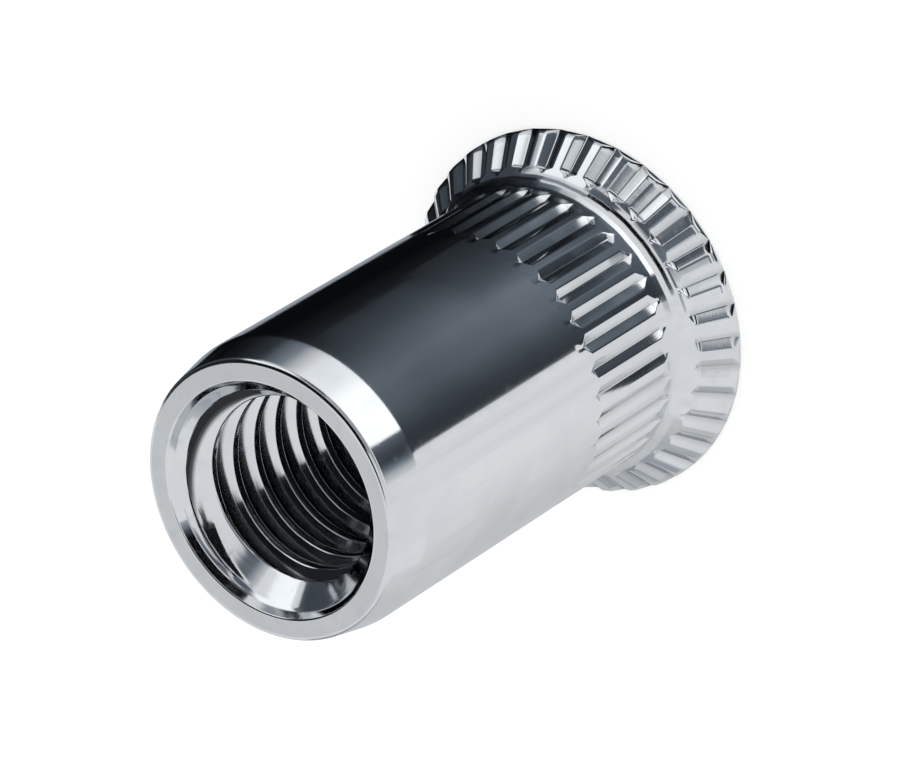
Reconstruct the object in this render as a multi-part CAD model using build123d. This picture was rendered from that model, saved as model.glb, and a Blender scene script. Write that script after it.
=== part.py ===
from build123d import *
from math import cos, radians, sin, tan
import os

# Countersunk-head blind rivet nut with a knurled round shank, M8, cold formed from one steel
# blank. The outer flat of the head lies on z = 0 and the threaded end points up +Z.
# All lengths are in millimetres and all angles in degrees.

# Overall
overall_length = 19.0
shank_diameter = 11.0

# Head: a flat outer face, a thin straight rim, and a cone that seats in a countersink
head_diameter = 14.0
rim_height = 0.25
countersink_angle = 90.0
neck_radius = 1.25
rim_edge = 0.06

# Thread: the solid keeps the plain bore that the thread is formed in
thread_diameter = 8.0
thread_pitch = 1.25
thread_length = 10.0
mouth_diameter = 8.8
mouth_angle = 90.0
mouth_edge_width = 0.18
mouth_edge_depth = 0.32

# Thin-walled length behind the head, which folds out behind the panel when the nut is set
collapse_wall = 1.0
collapse_edge = 0.25
shoulder_angle = 120.0

# Lead-in at the threaded end
lead_in_length = 1.6
lead_in_drop = 0.3
lead_in_blend = 2.5
end_edge_radius = 0.2

# Straight knurl on the shank and radial serrations under the head, in line with each other
groove_count = 36
first_groove_angle = -2.5
knurl_length = 4.8
knurl_depth = 0.16
knurl_angle = 130.0
knurl_run_out = 0.4
serration_depth = 0.18
serration_angle = 135.0
serration_run_out = 0.2

# Sizes that follow
shank_radius = shank_diameter / 2
head_radius = head_diameter / 2
thread_depth = 5 / 8 * thread_pitch * cos(radians(30))
bore_radius = thread_diameter / 2 - thread_depth
collapse_radius = shank_radius - collapse_wall
mouth_radius = mouth_diameter / 2
cone_radius = mouth_radius - mouth_edge_width
end_radius = shank_radius - lead_in_drop
cone_slope = tan(radians(countersink_angle / 2))
head_height = rim_height + (head_radius - shank_radius) / cone_slope
cone_depth = (cone_radius - bore_radius) / tan(radians(mouth_angle / 2))
mouth_depth = mouth_edge_depth + cone_depth
shoulder_height = (collapse_radius - bore_radius) / tan(radians(shoulder_angle / 2))
thread_foot = overall_length - thread_length
neck_reach = neck_radius * tan(radians(countersink_angle / 4))


def section():
    """Half section of the nut in the XZ plane, with its rounded corners."""
    neck = (shank_radius, head_height)
    shoulder = (shank_radius, overall_length - lead_in_length)
    end_edge = (end_radius, overall_length)
    corners = Polyline(
        (collapse_radius + collapse_edge, 0),
        (head_radius - rim_edge, 0),
        (head_radius, rim_edge),
        (head_radius, rim_height),
        neck,
        shoulder,
        end_edge,
        (mouth_radius, overall_length),
        (cone_radius, overall_length - mouth_edge_depth),
        (bore_radius, overall_length - mouth_depth),
        (bore_radius, thread_foot),
        (collapse_radius, thread_foot - shoulder_height),
        (collapse_radius, collapse_edge),
        close=True,
    )
    face = make_face(corners)
    for corner, radius in (
        (neck, neck_radius),
        (shoulder, lead_in_blend),
        (end_edge, min(end_edge_radius, (end_radius - mouth_radius) / 2)),
    ):
        vertex = face.vertices().sort_by_distance(Vector(*corner))[0]
        face = fillet(vertex, radius)
    return Plane.XZ * face


def groove_section(plane, depth, angle):
    """Cross-section of a V groove, in a plane whose X runs across the groove and whose Y
    points out of the metal. It stands as far above the surface as it cuts below."""
    half_width = 2 * depth * tan(radians(angle / 2))
    triangle = Polyline((0, -depth), (half_width, depth), (-half_width, depth), close=True)
    return plane * make_face(triangle)


def knurl_groove():
    """One groove of the knurl, along the shank down to the neck, run out at both ends."""
    foot = head_height + neck_reach
    top_tip = Vector(shank_radius, 0, foot + knurl_length)
    top = Plane(origin=top_tip, x_dir=(0, 1, 0), z_dir=(0, 0, -1)).offset(knurl_run_out)
    bottom = top.offset(knurl_length - 2 * knurl_run_out)
    foot_tip = Vector(shank_radius, 0, foot)
    sections = [groove_section(plane, knurl_depth, knurl_angle) for plane in (top, bottom)]
    return loft([Vertex(top_tip), *sections, Vertex(foot_tip)], ruled=True)


def serration_groove():
    """One groove of the head, down the cone from the neck and out past the rim. It grows
    deeper and wider with its distance from the axis, as the pitch does."""
    half = radians(countersink_angle / 2)
    down_cone = Vector(sin(half), 0, -cos(half))
    tip = Vector(shank_radius, 0, head_height) + down_cone * neck_reach
    start = Plane(origin=tip, x_dir=(0, 1, 0), z_dir=down_cone).offset(serration_run_out)
    end = start.offset((head_radius - shank_radius) / sin(half))
    sections = []
    for plane in (start, end):
        depth = serration_depth * plane.origin.X / head_radius
        sections.append(groove_section(plane, depth, serration_angle))
    return loft([Vertex(tip), *sections], ruled=True)


def rivet_nut():
    """The revolved blank with both rings of grooves cut into it."""
    blank = revolve(section(), Axis.Z)
    ring = PolarLocations(0, groove_count, start_angle=first_groove_angle)
    return blank - ring * knurl_groove() - ring * serration_groove()


os.makedirs("parts", exist_ok=True)
export_step(rivet_nut(), "parts/rivet_nut.step")
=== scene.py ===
from math import atan, cos, degrees, pi, radians, sin, tan

import bpy
from mathutils import Matrix, Vector


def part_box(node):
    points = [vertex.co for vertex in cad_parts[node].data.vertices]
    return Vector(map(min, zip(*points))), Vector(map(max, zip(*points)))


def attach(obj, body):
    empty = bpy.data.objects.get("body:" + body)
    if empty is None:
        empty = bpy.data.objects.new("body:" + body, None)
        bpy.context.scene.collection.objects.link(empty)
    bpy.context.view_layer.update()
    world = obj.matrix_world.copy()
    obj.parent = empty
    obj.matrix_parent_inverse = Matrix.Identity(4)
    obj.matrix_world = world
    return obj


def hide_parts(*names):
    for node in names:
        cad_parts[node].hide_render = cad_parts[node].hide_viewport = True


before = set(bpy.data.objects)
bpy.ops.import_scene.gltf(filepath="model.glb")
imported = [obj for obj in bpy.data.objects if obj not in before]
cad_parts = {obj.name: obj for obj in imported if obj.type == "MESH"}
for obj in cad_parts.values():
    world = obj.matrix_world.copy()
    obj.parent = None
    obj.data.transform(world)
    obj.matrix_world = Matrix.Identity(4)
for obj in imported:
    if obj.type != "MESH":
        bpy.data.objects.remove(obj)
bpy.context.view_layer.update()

# --- Blank: head, neck, shank and lead-in -----------------------------------------------------
# The outside of the nut, cold headed from one steel blank and turned about the Z axis. It is
# listed as rings from the inner edge of the head's outer flat, round the rim, up the cone and
# the shank, to the flat end with the thread. Lengths here are in millimetres.
MM = 0.001
low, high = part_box("rivet_nut")
overall_length = (high.z - low.z) / MM
collapse_radius = 4.5
collapse_edge = 0.25
collapse_edge_radius = collapse_radius + collapse_edge
head_radius = (high.x - low.x) / 2 / MM
shank_radius = 5.5
rim_height = 0.25
rim_edge = 0.06
rim_lip = 0.03
cone_slope = 1.0
cone_slant = 45
neck_radius = 1.25
lead_in_length = 1.6
lead_in_drop = 0.3
lead_in_blend = 2.5
end_edge_radius = 0.2
round_steps = 6
neck_steps = 10
head_height = rim_height + (head_radius - shank_radius) / cone_slope
neck_reach = neck_radius * tan(radians(cone_slant / 2))
lead_in_tilt = degrees(atan(lead_in_drop / lead_in_length))


def arc(centre_radius, centre_height, radius, start, end, steps):
    """Points of a rounded corner in the half section, from one angle to another."""
    turns = [radians(start + (end - start) * n / steps) for n in range(steps + 1)]
    return [(centre_radius + radius * cos(t), centre_height + radius * sin(t)) for t in turns]


# --- Knurl and head serrations ----------------------------------------------------------------
# Thirty-six V grooves pressed along the shank's lower end, and as many down the head's cone, in
# line with each other. They bite into the panel and stop the nut turning while it is set. Each
# groove is drawn by thirteen columns of points: its root, its flat flanks and its soft edges.
groove_count = 36
first_groove_angle = -2.5
knurl_length = 4.8
knurl_depth = 0.16
knurl_flank = tan(radians(130 / 2))
knurl_run_out = 0.4
serration_depth = 0.18
serration_flank = tan(radians(135 / 2))
serration_run_out = 0.2
run_out_shares = (0.3, 0.65, 1.0)
least_share = 0.35
across_groove = (0, 0.07, 0.15, 0.85, 0.93, 1.08, 1.18)
depth_across = (0.955, 0.93, 0.85, 0.15, 0.08, 0.0, 0.0)
pitch_angle = 2 * pi / groove_count
knurl_half_angle = knurl_depth * knurl_flank / shank_radius
serration_half_angle = serration_depth * serration_flank / head_radius


def groove_columns(half_angle, share):
    """Angles of the columns of every groove, drawn together where the groove runs out."""
    reach = half_angle * max(share, least_share)
    sides = [-reach * u for u in reversed(across_groove[1:])] + [reach * u for u in across_groove]
    starts = [radians(first_groove_angle) + pitch_angle * n for n in range(groove_count)]
    return [start + side for start in starts for side in sides]


def groove_depths(depth, share):
    """How deep each of those columns lies under the surface."""
    reach = max(share, least_share)
    across = [abs(u) * reach for u in across_groove]
    cut = [depth * max(0, share - u) if share < 1 else depth * d
           for u, d in zip(across, depth_across)]
    return (list(reversed(cut[1:])) + cut) * groove_count


per_groove = 2 * len(across_groove) - 1
COLUMNS = per_groove * groove_count
first_column = radians(first_groove_angle) - pitch_angle * (len(across_groove) - 1) / per_groove
even_angles = [first_column + pitch_angle * n / per_groove for n in range(COLUMNS)]
# How far the roots of the knurl and head grooves are painted darker, as shade, and made rougher.
groove_shade_and_dullness = 0.45
rings = []


def add_ring(points, hollow=None):
    """One ring of the nut's surface: its points, and how much painted shade and roughness the
    plate gets at each one.
    """
    spots = [Vector((x * MM, y * MM, z * MM)) for x, y, z in points]
    rings.append((spots, hollow or [0.0] * COLUMNS))


def plain_ring(radius, height, angles=None):
    """A ring with no groove in it."""
    add_ring([(radius * cos(a), radius * sin(a), height) for a in angles or even_angles])


def grooved_ring(radius, height, slant, depth, half_angle, share):
    """A ring across the grooves, cut square to a surface that slants by so many degrees."""
    out, up = cos(radians(slant)), sin(radians(slant))
    angles = groove_columns(half_angle, share)
    depths = groove_depths(depth, share)
    points = []
    for angle, cut in zip(angles, depths):
        reach = radius - cut * out
        points.append((reach * cos(angle), reach * sin(angle), height - cut * up))
    # Painted shade, deepest in the groove's root.
    add_ring(points, [groove_shade_and_dullness * cut / depth for cut in depths])


# The rim first: the grooves run out through it, so each column has its own rim corner.
rim_angles = groove_columns(serration_half_angle, 1)
rim_depths = groove_depths(serration_depth, 1)
rim_corners = [rim_height - cut * 2 ** 0.5 for cut in rim_depths]
# The same painted shade in the grooves where they run out through the rim.
rim_hollow = [groove_shade_and_dullness * cut / serration_depth for cut in rim_depths]
flat_margin = 0.06
plain_ring(collapse_edge_radius + flat_margin, 0)
plain_ring(head_radius - rim_edge - flat_margin, 0, rim_angles)
edges = [min(rim_edge, corner / 2) for corner in rim_corners]
add_ring([((head_radius - e) * cos(a), (head_radius - e) * sin(a), 0)
          for a, e in zip(rim_angles, edges)])
add_ring([(head_radius * cos(a), head_radius * sin(a), e) for a, e in zip(rim_angles, edges)])
lips = [min(rim_lip, (corner - edge) / 2) for corner, edge in zip(rim_corners, edges)]
add_ring([(head_radius * cos(a), head_radius * sin(a), corner - lip)
          for a, corner, lip in zip(rim_angles, rim_corners, lips)])
add_ring([((head_radius - lip) * cos(a), (head_radius - lip) * sin(a), corner + lip)
          for a, corner, lip in zip(rim_angles, rim_corners, lips)], rim_hollow)

# Up the cone, where the grooves grow shallower and narrower with the radius.
cone_top = shank_radius + neck_reach * sin(radians(cone_slant))
run_out_reach = serration_run_out * sin(radians(cone_slant))
cone_radii = (6.85, 6.6, 6.35, 6.1)
cone_rings = [(radius, 1) for radius in cone_radii]
cone_rings += [(cone_top + share * run_out_reach, share) for share in reversed(run_out_shares)]
for radius, share in cone_rings:
    height = head_height - (radius - shank_radius) / cone_slope
    grooved_ring(radius, height, cone_slant, serration_depth * radius / head_radius,
                 serration_half_angle, share)

# The neck's hollow round, then the knurl up the shank.
neck_angles = groove_columns(knurl_half_angle, least_share)
knurl_foot = head_height + neck_reach
knurl_top = knurl_foot + knurl_length
for radius, height in reversed(arc(shank_radius + neck_radius, knurl_foot, neck_radius,
                                   180, 180 + cone_slant, neck_steps)):
    plain_ring(radius, height, neck_angles)
for share in run_out_shares:
    grooved_ring(shank_radius, knurl_foot + share * knurl_run_out, 0, knurl_depth,
                 knurl_half_angle, share)
for share in reversed(run_out_shares):
    grooved_ring(shank_radius, knurl_top - share * knurl_run_out, 0, knurl_depth,
                 knurl_half_angle, share)
plain_ring(shank_radius, knurl_top, neck_angles)
plain_ring(shank_radius, knurl_top + knurl_run_out)

# The smooth shank, the blend into the lead-in, and the rounded edge of the flat end.
blend_foot = overall_length - lead_in_length - lead_in_blend * tan(radians(lead_in_tilt / 2))
shank_heights = (10, 12.5, 15, 16.6)
for height in shank_heights:
    plain_ring(shank_radius, height)
for radius, height in arc(shank_radius - lead_in_blend, blend_foot, lead_in_blend,
                          0, lead_in_tilt, round_steps):
    plain_ring(radius, height)
end_radius = shank_radius - lead_in_drop
edge_tangent = end_edge_radius * tan(radians((90 - lead_in_tilt) / 2))
for radius, height in arc(end_radius - edge_tangent, overall_length - end_edge_radius,
                          end_edge_radius, lead_in_tilt, 90, round_steps):
    plain_ring(radius, height)

# --- Thread, its mouth, and the thin-walled length behind the head ------------------------------
# M8 x 1.25 right-hand thread, rolled in the plain bore, with a countersunk mouth at the flat
# end and a 120 degree shoulder at its foot. Below the shoulder the wall is thin, and folds out
# behind the panel when the nut is set. The thread's rings climb with its helix.
thread_radius = 4.0
thread_pitch = 1.25
thread_end_angle = 118
bore_radius = thread_radius - 5 / 8 * thread_pitch * cos(radians(30))
mouth_radius = 4.4
mouth_edge_radius = 4.22
mouth_edge_depth = 0.32
thread_foot = 9.0
shoulder_slope = tan(radians(60))
shoulder_foot = thread_foot - (collapse_radius - bore_radius) / shoulder_slope
flank_slope = tan(radians(60))
corner_blend = 0.05
# The thread's roots and the outer part of its flanks are painted darker, as shade, from this
# share of the depth on.
hollow_start = 0.32
hollow_rate = 3.3
# Where the thread's groove runs out into the mouth or the shoulder, it is painted darker, as
# shade, from this far below the cone and over this width.
run_out_start = 0.12
run_out_fade = 0.06
half_thread = (
    (0.0, 0.0),
    (0.125, 0.0),
    (0.165, 0.018),
    (0.19, (0.19 - thread_pitch / 8) * flank_slope),
    (0.3, (0.3 - thread_pitch / 8) * flank_slope),
    (0.565, (0.565 - thread_pitch / 8) * flank_slope),
    (0.595, 0.745),
    (thread_pitch / 2, 0.757),
)
root_radius = bore_radius + half_thread[-1][1]
thread_steps = [s for s, _ in half_thread] + [
    thread_pitch - s for s, _ in reversed(half_thread[1:-1])]


def thread_bore(climb):
    """Radius of the threaded bore, at a height measured from the middle of a crest."""
    off = abs((climb + thread_pitch / 2) % thread_pitch - thread_pitch / 2)
    for (s0, d0), (s1, d1) in zip(half_thread, half_thread[1:]):
        if off <= s1:
            return bore_radius + d0 + (d1 - d0) * (off - s0) / (s1 - s0)
    return root_radius


def wider(one, other):
    """The wider of two bores, with a small round where they meet."""
    return max(one, other) + max(0, corner_blend - abs(one - other)) ** 2 / (4 * corner_blend)


def thread_root_shade(radius):
    """How much painted shade and roughness the thread gets at a radius: none down to a third of
    the flank, then more towards the root.
    """
    share = (radius - bore_radius) / (root_radius - bore_radius)
    return max(0, hollow_rate * (share - hollow_start))


def climb_of(angle):
    """How far the helix has risen from where the thread starts, at an angle round the axis."""
    return thread_pitch * (angle - even_angles[0]) / (2 * pi)


cone_top_height = overall_length - mouth_edge_depth
groove_end = cone_top_height - mouth_edge_radius + root_radius
first_crest = groove_end - thread_pitch / 2 - climb_of(radians(thread_end_angle))


def threaded_ring(height, cone_radius):
    """A level ring where the thread runs out into a cone, which is the mouth or the shoulder."""
    points = []
    hollow = []
    for a in even_angles:
        bore = thread_bore(height - first_crest - climb_of(a))
        radius = wider(bore, cone_radius)
        points.append((radius * cos(a), radius * sin(a), height))
        # Painted shade in the groove where it runs out into the cone.
        hollow.append(max(0, radius - cone_radius - run_out_start) / run_out_fade)
    add_ring(points, hollow)


# The flat end and the mouth, with close rings beside each edge to keep it crisp.
plain_ring(end_radius - edge_tangent - 0.04, overall_length)
plain_ring(mouth_radius + 0.07, overall_length)
plain_ring(mouth_radius + 0.03, overall_length)
for down in (0.06, 0.12, 0.88, 0.94):
    plain_ring(mouth_radius - down * (mouth_radius - mouth_edge_radius),
               overall_length - down * mouth_edge_depth)
plain_ring(mouth_edge_radius - 0.02, cone_top_height - 0.02)
mouth_foot = cone_top_height - mouth_edge_radius + bore_radius
mouth_rings = 24
cone_margin = 0.03
helix_top = mouth_foot - 0.04
mouth_top = groove_end + cone_margin
for n in range(mouth_rings + 1):
    height = mouth_top + (helix_top - mouth_top) * n / mouth_rings
    threaded_ring(height, mouth_edge_radius - cone_top_height + height)
top_ring = len(rings) - 1

# The shoulder, the thin-walled bore and its edge at the head's face.
shoulder_rings = 14
helix_foot = thread_foot + cone_margin
shoulder_low = thread_foot - (root_radius - bore_radius) / shoulder_slope - cone_margin
for n in range(shoulder_rings + 1):
    height = helix_foot + (shoulder_low - helix_foot) * n / shoulder_rings
    threaded_ring(height, bore_radius + (thread_foot - height) * shoulder_slope)
foot_ring = top_ring + 1
plain_ring(collapse_radius - 0.03, shoulder_foot + 0.02)
plain_ring(collapse_radius, shoulder_foot - 0.02)
plain_ring(collapse_radius, collapse_edge + 0.03)
plain_ring(collapse_radius + 0.03, collapse_edge - 0.04)
plain_ring(collapse_edge_radius - 0.02, 0.03)
plain_ring(collapse_edge_radius + 0.02, 0)

# --- The whole nut as one closed skin ---------------------------------------------------------
# One piece of steel with no joints, so it is one mesh. Ring is joined to ring, the thread's
# rings join the top and foot rings where they would pass them, and the last ring closes on the
# first. It stands for the CAD solid, which has the plain bore instead of the thread.
spots = [spot for ring, _ in rings for spot in ring]
hollows = [value for _, ring in rings for value in ring]
faces = []


def add_face(*corners):
    """A face through these points, without the ones that fall together."""
    kept = [c for n, c in enumerate(corners) if c != corners[n - 1]]
    if len(kept) > 2:
        faces.append(kept)


for n in range(len(rings)):
    if n == top_ring:
        continue
    ring = n * COLUMNS
    after = (n + 1) % len(rings) * COLUMNS
    for c in range(COLUMNS):
        d = (c + 1) % COLUMNS
        add_face(ring + c, ring + d, after + d, after + c)

# The helix is drawn with spare turns at both ends, which fold into the top and foot rings.
per_turn = len(thread_steps)
turns = int((helix_top - helix_foot) / thread_pitch) + 3
crest_below = first_crest - thread_pitch * (
    int((first_crest - helix_foot) / thread_pitch) + 2)
climbs = [crest_below + thread_pitch * t + s for t in range(turns) for s in thread_steps]
least_gap = 0.004
helix = []
for climb in climbs:
    row = []
    for c, a in enumerate(even_angles):
        height = climb + climb_of(a)
        if height > helix_top - least_gap:
            row.append(top_ring * COLUMNS + c)
        elif height < helix_foot + least_gap:
            row.append(foot_ring * COLUMNS + c)
        else:
            radius = thread_bore(climb - first_crest)
            row.append(len(spots))
            spots.append(Vector((radius * cos(a) * MM, radius * sin(a) * MM, height * MM)))
            # Painted shade in the thread's roots.
            hollows.append(thread_root_shade(radius))
    helix.append(row)
for n in range(len(helix) - 1):
    for c in range(COLUMNS - 1):
        add_face(helix[n + 1][c], helix[n + 1][c + 1], helix[n][c + 1], helix[n][c])
    seam = min(n + per_turn, len(helix) - 1)
    above = min(n + 1 + per_turn, len(helix) - 1)
    add_face(helix[n + 1][COLUMNS - 1], helix[above][0], helix[seam][0],
             helix[n][COLUMNS - 1])

skin = bpy.data.meshes.new("rivet_nut_skin")
skin.from_pydata(spots, [], faces)
skin.validate()
skin.update()
# The painted shade and the extra roughness of the roots go on the mesh as the hollow mark.
hollow_mark = skin.attributes.new("hollow", "FLOAT", "POINT")
hollow_mark.data.foreach_set("value", hollows)
skin.shade_smooth()
nut = bpy.data.objects.new("threaded_rivet_nut", skin)
bpy.context.scene.collection.objects.link(nut)
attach(nut, "root")
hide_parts("rivet_nut")

# --- Bright zinc plate ------------------------------------------------------------------------
# Barrel-plated and polished steel: a cool bright metal with soft cloudy patches, fine lines
# drawn along the shank, turned lines round the flat end and the mouth, and in the roots of the
# grooves and of the thread a rougher plate, darkened by painted shade.
plate_colour = (0.66, 0.685, 0.71, 1)
dull_colour = (0.50, 0.525, 0.555, 1)
# Painted shade for the roots of the grooves, and a deeper painted shade for the thread's roots.
root_shade_colour = (0.09, 0.095, 0.10, 1)
thread_root_shade_colour = (0.025, 0.027, 0.03, 1)
zinc = bpy.data.materials.new("bright_zinc_plate")
zinc.use_nodes = True
tree = zinc.node_tree
shader = tree.nodes["Principled BSDF"]
shader.inputs["Metallic"].default_value = 1


def node(kind, **settings):
    """A shader node of the zinc finish, with its settings."""
    made = tree.nodes.new("ShaderNode" + kind)
    for name, value in settings.items():
        if name in made.bl_rna.properties:
            setattr(made, name, value)
        else:
            made.inputs[name.replace("_", " ")].default_value = value
    return made


def link(source, output, target, socket):
    """Joins two nodes of the finish."""
    tree.links.new(source.outputs[output], target.inputs[socket])


def spread(value, output, low, high, bottom, top):
    """Maps one range of a value on another, and holds it there."""
    made = node("MapRange", From_Min=low, From_Max=high, To_Min=bottom, To_Max=top)
    link(value, output, made, "Value")
    return made


place = node("TexCoord")
cloud = node("TexNoise", Scale=300.0, Detail=3.0, Roughness=0.55)
link(place, "Object", cloud, "Vector")

# Fine lines along the shank from the die, with broad faint streaks among them.
line_scale = (11000, 11000, 260)
along = node("Mapping")
along.inputs["Scale"].default_value = line_scale
link(place, "Object", along, "Vector")
fine_lines = node("TexNoise", Scale=1.0, Detail=2.0)
link(along, "Vector", fine_lines, "Vector")
streaks = node("TexNoise", Scale=0.16, Detail=2.0)
link(along, "Vector", streaks, "Vector")

# Turned lines round the flat end, the mouth and the head's face.
apart = node("SeparateXYZ")
link(place, "Object", apart, "Vector")
flat_spot = node("CombineXYZ")
link(apart, "X", flat_spot, "X")
link(apart, "Y", flat_spot, "Y")
from_axis = node("VectorMath", operation="LENGTH")
link(flat_spot, "Vector", from_axis, 0)
round_spot = node("CombineXYZ")
link(from_axis, "Value", round_spot, "X")
link(apart, "Z", round_spot, "Z")
turned_lines = node("TexNoise", Scale=14000.0, Detail=2.0)
link(round_spot, "Vector", turned_lines, "Vector")
facing = node("SeparateXYZ")
link(place, "Normal", facing, "Vector")
upright = node("Math", operation="ABSOLUTE")
link(facing, "Z", upright, 0)
turned_here = spread(upright, "Value", 0.5, 0.75, 0, 1)
lines = node("Mix")
link(turned_here, "Result", lines, 0)
link(fine_lines, "Fac", lines, 2)
link(turned_lines, "Fac", lines, 3)
ridges = node("Bump", Strength=0.12, Distance=0.000004)
link(lines, "Result", ridges, "Height")
link(ridges, "Normal", shader, "Normal")

# Colour: soft clouds and streaks, then painted shade in the roots.
cloud_share = spread(cloud, "Fac", 0.35, 0.7, 0, 0.55)
streak_share = spread(streaks, "Fac", 0.4, 0.7, 0, 0.45)
dull_share = node("Math", operation="MAXIMUM")
link(cloud_share, "Result", dull_share, 0)
link(streak_share, "Result", dull_share, 1)
plate = node("Mix", data_type="RGBA")
plate.inputs[6].default_value = plate_colour
plate.inputs[7].default_value = dull_colour
link(dull_share, "Value", plate, 0)
mark = node("Attribute", attribute_name="hollow")
root_shade_share = spread(mark, "Fac", 0.2, 1.15, 0, 1)
tone = node("Mix", data_type="RGBA")
tone.inputs[7].default_value = root_shade_colour
link(plate, 2, tone, 6)
link(root_shade_share, "Result", tone, 0)
thread_root_shade_share = spread(mark, "Fac", 1.1, 1.9, 0, 1)
deep_tone = node("Mix", data_type="RGBA")
deep_tone.inputs[7].default_value = thread_root_shade_colour
link(tone, 2, deep_tone, 6)
link(thread_root_shade_share, "Result", deep_tone, 0)
link(deep_tone, 2, shader, "Base Color")

# Gloss: clouds, specks of dull plate, and a rougher tone in every root.
cloud_gloss = spread(cloud, "Fac", 0.35, 0.65, 0.07, 0.11)
specks = node("TexNoise", Scale=2600.0, Detail=3.0, Roughness=0.6)
link(place, "Object", specks, "Vector")
speck_gloss = spread(specks, "Fac", 0.6, 0.72, 0, 0.07)
hollow_gloss = spread(mark, "Fac", 0.3, 1, 0, 0.12)
gloss = node("Math", operation="ADD")
link(cloud_gloss, "Result", gloss, 0)
link(speck_gloss, "Result", gloss, 1)
all_gloss = node("Math", operation="ADD")
link(gloss, "Value", all_gloss, 0)
link(hollow_gloss, "Result", all_gloss, 1)
link(all_gloss, "Value", shader, "Roughness")
skin.materials.append(zinc)

# --- Camera -----------------------------------------------------------------------------------
# A long lens from the front and above, turned on its side, so that the nut lies across the
# picture with its threaded end towards the lower left.
camera_height_angle = 47.649
camera_roll = -121.587
camera_distance = 236.0253
aim_right = -4.6848
aim_up = -2.6924
camera_data = bpy.data.cameras.new("camera")
camera = bpy.data.objects.new("camera", camera_data)
bpy.context.scene.collection.objects.link(camera)
bpy.context.scene.camera = camera
camera_data.sensor_width = 36
camera_data.lens = 258.976
camera_data.clip_start = 0.01
camera_data.clip_end = 10
turn = Matrix.Rotation(radians(90 - camera_height_angle), 3, "X") @ Matrix.Rotation(
    radians(camera_roll), 3, "Z")
camera.location = turn @ Vector((aim_right, aim_up, camera_distance)) * MM
camera.rotation_euler = turn.to_euler()

# --- Floor, cards and light ---------------------------------------------------------------------
# A plain pale floor and a soft studio light. Cards far round the nut and a few below it, which
# only show as reflections in the metal, give it its dark and its bright side.
world = bpy.data.worlds.new("studio")
bpy.context.scene.world = world
world.use_nodes = True
sky = world.node_tree.nodes["Background"]
sky.inputs["Color"].default_value = (1, 1, 1, 1)
sky.inputs["Strength"].default_value = 1.0


def stage_sheet(name, corners, material):
    """A flat stage sheet through these corners, in millimetres."""
    sheet_mesh = bpy.data.meshes.new(name)
    sheet_mesh.from_pydata([Vector(c) * MM for c in corners], [], [range(len(corners))])
    sheet_mesh.materials.append(material)
    sheet = bpy.data.objects.new(name, sheet_mesh)
    bpy.context.scene.collection.objects.link(sheet)
    return sheet


def only_in_reflections(sheet):
    """The sheet shows in the metal, and neither to the camera nor as a shadow."""
    sheet.visible_camera = False
    sheet.visible_diffuse = False
    sheet.visible_shadow = False


floor_colour = (0.8, 0.8, 0.8, 1)
floor_glow = 0.35
floor_paint = bpy.data.materials.new("floor_paint")
floor_paint.use_nodes = True
paint_tree = floor_paint.node_tree
paint = paint_tree.nodes["Principled BSDF"]
paint.inputs["Base Color"].default_value = floor_colour
paint.inputs["Roughness"].default_value = 1
paint.inputs["Specular IOR Level"].default_value = 0
rays = paint_tree.nodes.new("ShaderNodeLightPath")
seen = paint_tree.nodes.new("ShaderNodeMath")
seen.operation = "MAXIMUM"
paint_tree.links.new(rays.outputs["Is Camera Ray"], seen.inputs[0])
paint_tree.links.new(rays.outputs["Is Glossy Ray"], seen.inputs[1])
lift = paint_tree.nodes.new("ShaderNodeMath")
lift.operation = "MULTIPLY"
lift.inputs[1].default_value = floor_glow
paint_tree.links.new(seen.outputs[0], lift.inputs[0])
paint.inputs["Emission Color"].default_value = (1, 1, 1, 1)
paint_tree.links.new(lift.outputs[0], paint.inputs["Emission Strength"])
floor_size = 1500
floor_drop = -0.01
floor = stage_sheet("floor", [(x * floor_size, y * floor_size, floor_drop)
                              for x, y in ((-1, -1), (1, -1), (1, 1), (-1, 1))], floor_paint)
floor.visible_glossy = False


def around(distance, azimuth, height):
    """A point so far from the axis of the nut, at an azimuth in degrees."""
    return (distance * cos(radians(azimuth)), distance * sin(radians(azimuth)), height)


# Dark cards are cool and bright ones plain, which is how grey steel looks in a white room.
cool_tint = (0.85, 1.0, 1.18, 1)
plain_tint = (1, 1, 1, 1)
cool_level = 0.15
plain_level = 0.7
card_tone = bpy.data.materials.new("card_tone")
card_tone.use_nodes = True
card_tree = card_tone.node_tree
card = card_tree.nodes["Principled BSDF"]
card.inputs["Base Color"].default_value = (0, 0, 0, 1)
card.inputs["Specular IOR Level"].default_value = 0
level_mark = card_tree.nodes.new("ShaderNodeAttribute")
level_mark.attribute_name = "level"
card_tree.links.new(level_mark.outputs["Fac"], card.inputs["Emission Strength"])
pale_share = card_tree.nodes.new("ShaderNodeMapRange")
pale_share.inputs["From Min"].default_value = cool_level
pale_share.inputs["From Max"].default_value = plain_level
card_tree.links.new(level_mark.outputs["Fac"], pale_share.inputs["Value"])
card_tint = card_tree.nodes.new("ShaderNodeMix")
card_tint.data_type = "RGBA"
card_tint.inputs[6].default_value = cool_tint
card_tint.inputs[7].default_value = plain_tint
card_tree.links.new(pale_share.outputs["Result"], card_tint.inputs[0])
card_tree.links.new(card_tint.outputs[2], card.inputs["Emission Color"])


card_step = 2


def tone_at(tones, azimuth):
    """The level between two named azimuths of a card."""
    for (start, first), (end, last) in zip(tones, tones[1:]):
        if azimuth <= end:
            return first + (last - first) * (azimuth - start) / (end - start)
    return tones[-1][1]


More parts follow.
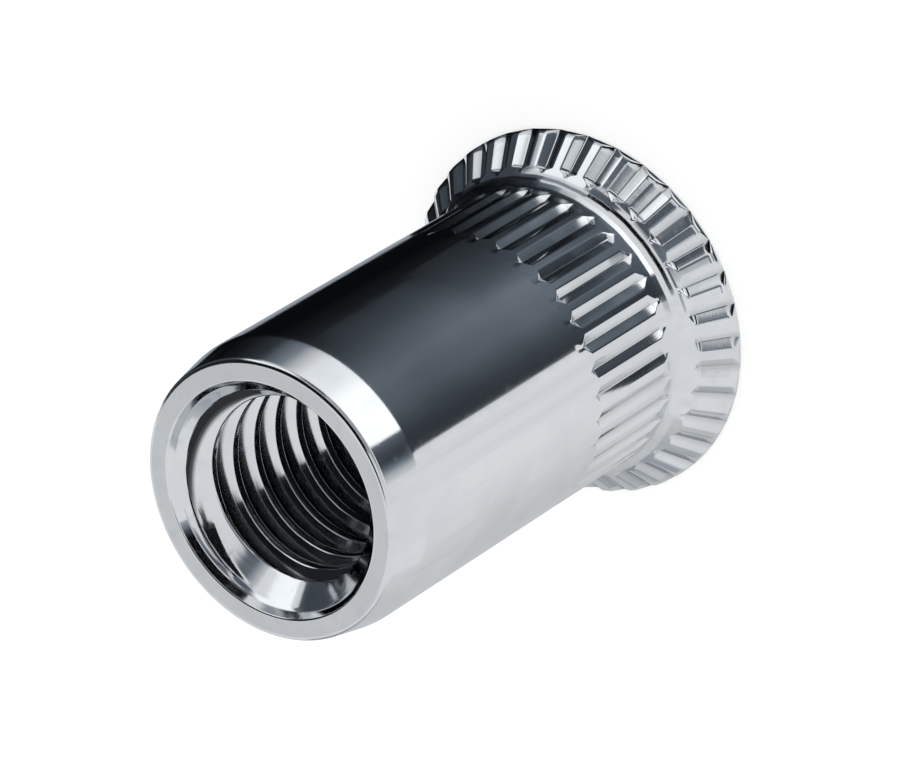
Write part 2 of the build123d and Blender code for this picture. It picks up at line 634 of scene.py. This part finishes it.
def toned_card(name, tones, rows):
    """A card curved round the nut, whose tone changes from one azimuth to the next. Each row
    is a distance from the nut's axis, a height, and how much of the tone it keeps."""
    first, last = tones[0][0], tones[-1][0]
    steps = int((last - first) / card_step) + 2
    across = [first + (last - first) * n / steps for n in range(steps + 1)]
    corners = [around(distance, a, height) for distance, height, _ in rows for a in across]
    levels = [tone_at(tones, a) * kept for _, _, kept in rows for a in across]
    strip = len(across)
    card_mesh = bpy.data.meshes.new(name)
    card_mesh.from_pydata([Vector(c) * MM for c in corners], [],
                          [(n, n + 1, n + 1 + strip, n + strip)
                           for row in range(len(rows) - 1)
                           for n in range(row * strip, row * strip + strip - 1)])
    level = card_mesh.attributes.new("level", "FLOAT", "POINT")
    level.data.foreach_set("value", levels)
    card_mesh.materials.append(card_tone)
    made = bpy.data.objects.new(name, card_mesh)
    bpy.context.scene.collection.objects.link(made)
    only_in_reflections(made)


card_distance = 400
card_rows = 6


def far_card(name, tones, low, high):
    """A toned card far from the nut, from one elevation to another in degrees."""
    tall = [low + (high - low) * n / card_rows for n in range(card_rows + 1)]
    toned_card(name, tones, [(card_distance * cos(radians(e)), card_distance * sin(radians(e)), 1)
                             for e in tall])


# The dark side from below. The two patches lie under the level of the floor, which doesn't hide
# them from the metal, so that the neck of the nut looks over them at the bright window.
foot_tones = [(-114, 0.05), (-104, 0.055), (-98, 0.07), (-90, 0.10), (-80, 0.15), (-60, 0.20),
              (-50, 0.17), (-30, 0.088), (-10, 0.04), (10, 0.014), (30, 0.004), (62, 0.004)]
patch_height = -15
far_card("dark_foot", foot_tones, -89.9, -36)
toned_card("soft_patch", [(-105, 0.055), (-98.5, 0.07), (-90, 0.1), (-79, 0.15), (-57, 0.2),
                          (-46, 0.17), (-25, 0.088), (-3.5, 0.04)],
           [(27.7, patch_height, 1.15), (33.7, patch_height, 0.85)])
toned_card("knurl_patch", [(-106.5, 0.06), (-99, 0.08), (-90, 0.12), (-78.5, 0.19), (-55, 0.24),
                           (-43, 0.13), (-32, 0.085), (-14.5, 0.05), (2.5, 0.03)],
           [(22.5, patch_height, 1), (27.2, patch_height, 1)])
far_card("pale_foot", [(62, 0.3), (100, 0.6), (140, 0.75), (175, 0.92), (200, 1.0)], -89.9, -36)
far_card("window_edge", [(-121, 0.85), (-117, 0.65), (-113, 0.22), (-109, 0.07), (-105, 0.07),
                         (-99, 0.12), (-95, 0.16)], -36, -12)
far_card("window", [(-95, 1.6), (-60, 1.6), (-46, 1.3), (-29, 1.2), (-18, 0.7), (-11, 0.3),
                    (6, 0.05), (24, 0.015), (42, 0.004), (62, 0.02)], -36, -12)
far_card("dark_low", [(0, 0.02), (62, 0.02)], -12, -3)
far_card("dark_behind", [(-112, 0.5), (-104, 0.1), (-99, 0.004), (-50, 0.004)], 8, 22)
far_card("dark_behind_right", [(-50, 0.004), (-32, 0.004)], 2, 15)
far_card("grey_behind", [(-32, 0.35), (-3, 0.35)], -4, 7)
far_card("dusk_low", [(-3, 0.15), (20, 0.08), (62, 0.08)], -3, 7)
far_card("dusk", [(10, 0.2), (18, 0.08), (62, 0.08)], 7, 22)
far_card("bright_top", [(-50, 0.12), (-30, 0.15), (-22, 1.4), (8, 1.5)], 16, 34)
far_card("grey_right", [(-124, 0.6), (-112, 0.25), (-100, 0.15), (-80, 0.25), (-66, 0.6),
                        (-52, 1.0)], 30.5, 36)
far_card("dark_right", [(14, 0.02), (70, 0.02)], 22, 51)
far_card("dark_top", [(-25, 0.02), (14, 0.02)], 44, 51)
far_card("grey_above", [(-106, 0.8), (-98, 0.3), (-84, 0.18), (-75, 0.12), (-50, 0.1), (-38, 0.2),
                        (-25, 0.8)], 36, 44.5)
far_card("grey_back", [(118, 0.6), (124, 0.35), (135, 0.4), (150, 0.6), (165, 0.75),
                       (172, 0.9)], -6, 18)
far_card("pale_back", [(95, 0.55), (130, 0.7), (172, 0.9)], -36, -6)
far_card("end_grey", [(70, 0.8), (130, 0.8)], 40, 51)
far_card("dark_ceiling", [(-100, 0.01), (75, 0.01)], 51, 89.9)
far_card("dark_ceiling_back", [(75, 0.01), (260, 0.01)], 74, 89.9)

# A dark sheet under the floor, seen only in the metal, paints the nut's own shade on the floor in
# the bore.
shade_height = -0.005
toned_card("shade_in_the_bore", [(0, 0.01), (360, 0.01)],
           [(0.01, shade_height, 1), (6.6, shade_height, 1)])

# --- The end ----------------------------------------------------------------------------------
# The picture uses the plain view transform.
bpy.context.scene.view_settings.view_transform = "Standard"
